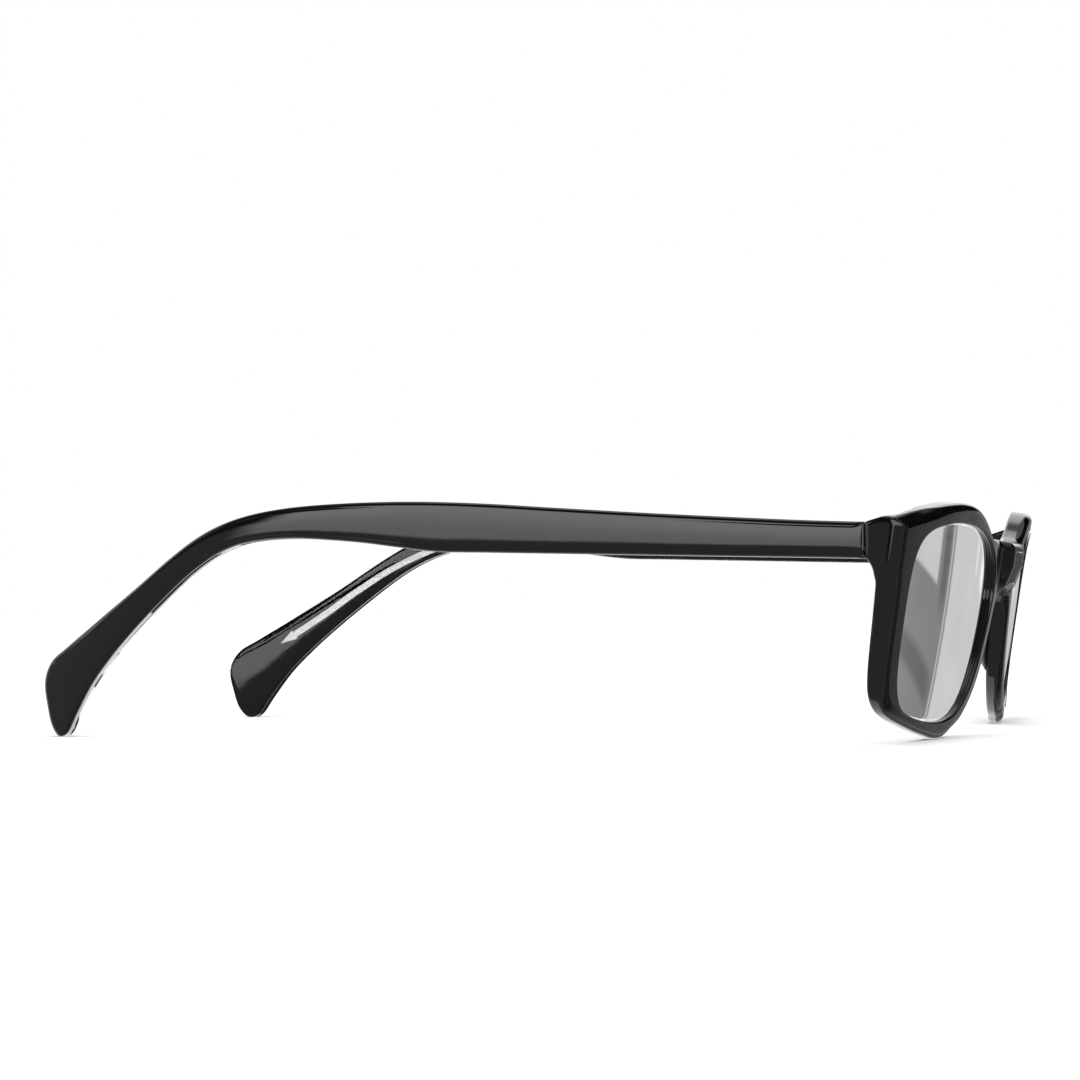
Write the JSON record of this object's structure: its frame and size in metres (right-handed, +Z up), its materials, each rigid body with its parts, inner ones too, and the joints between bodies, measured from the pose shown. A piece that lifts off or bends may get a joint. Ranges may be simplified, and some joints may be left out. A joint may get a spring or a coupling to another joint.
{
  "type": "eyeglasses",
  "caption": "Full-rim acetate eyeglasses with clear plano lenses, a raised bridge and temples that fold on barrel hinges.",
  "frame": {"origin": "middle of the footprint of the open glasses, on the table they stand on", "axes": "+Z up, +Y from the front towards the temple tips, +X towards the wearer's left side"},
  "size_m": [0.1368, 0.1482, 0.0358],
  "materials": {
    "black_acetate": "polished",
    "clear_acetate": "polished, clear",
    "pad_acetate": "polished",
    "lens": "clear",
    "hinge_metal": "satin",
    "rivet_metal": "polished",
    "screw_metal": "polished",
    "wire_metal": "satin"
  },
  "bodies": {
    "front": {"frame_front": "black_acetate", "right_lens": "lens", "right_nose_pad": "pad_acetate", "right_front_hinge_leaf": "hinge_metal", "right_front_hinge_rivets": "rivet_metal", "right_hinge_screw": "screw_metal", "left_lens": "lens", "left_nose_pad": "pad_acetate", "left_front_hinge_leaf": "hinge_metal", "left_front_hinge_rivets": "rivet_metal", "left_hinge_screw": "screw_metal"},
    "right_temple": {"right_temple_hinge_leaf": "hinge_metal", "right_temple_hinge_rivets": "rivet_metal", "right_temple_outer_layer": "black_acetate", "right_temple_inner_layer": "clear_acetate", "right_core_wire": "wire_metal"},
    "left_temple": {"left_temple_hinge_leaf": "hinge_metal", "left_temple_hinge_rivets": "rivet_metal", "left_temple_outer_layer": "black_acetate", "left_temple_inner_layer": "clear_acetate", "left_core_wire": "wire_metal"}
  },
  "joints": [
    {"name": "right_temple_fold", "type": "hinge", "parent": "front", "child": "right_temple", "pos_m": [-0.063, -0.059, 0.0292], "axis": [0, 0, -1], "range_deg": [0, 54]},
    {"name": "left_temple_fold", "type": "hinge", "parent": "front", "child": "left_temple", "pos_m": [0.063, -0.059, 0.0292], "axis": [0, 0, 1], "range_deg": [0, 80]}
  ]
}
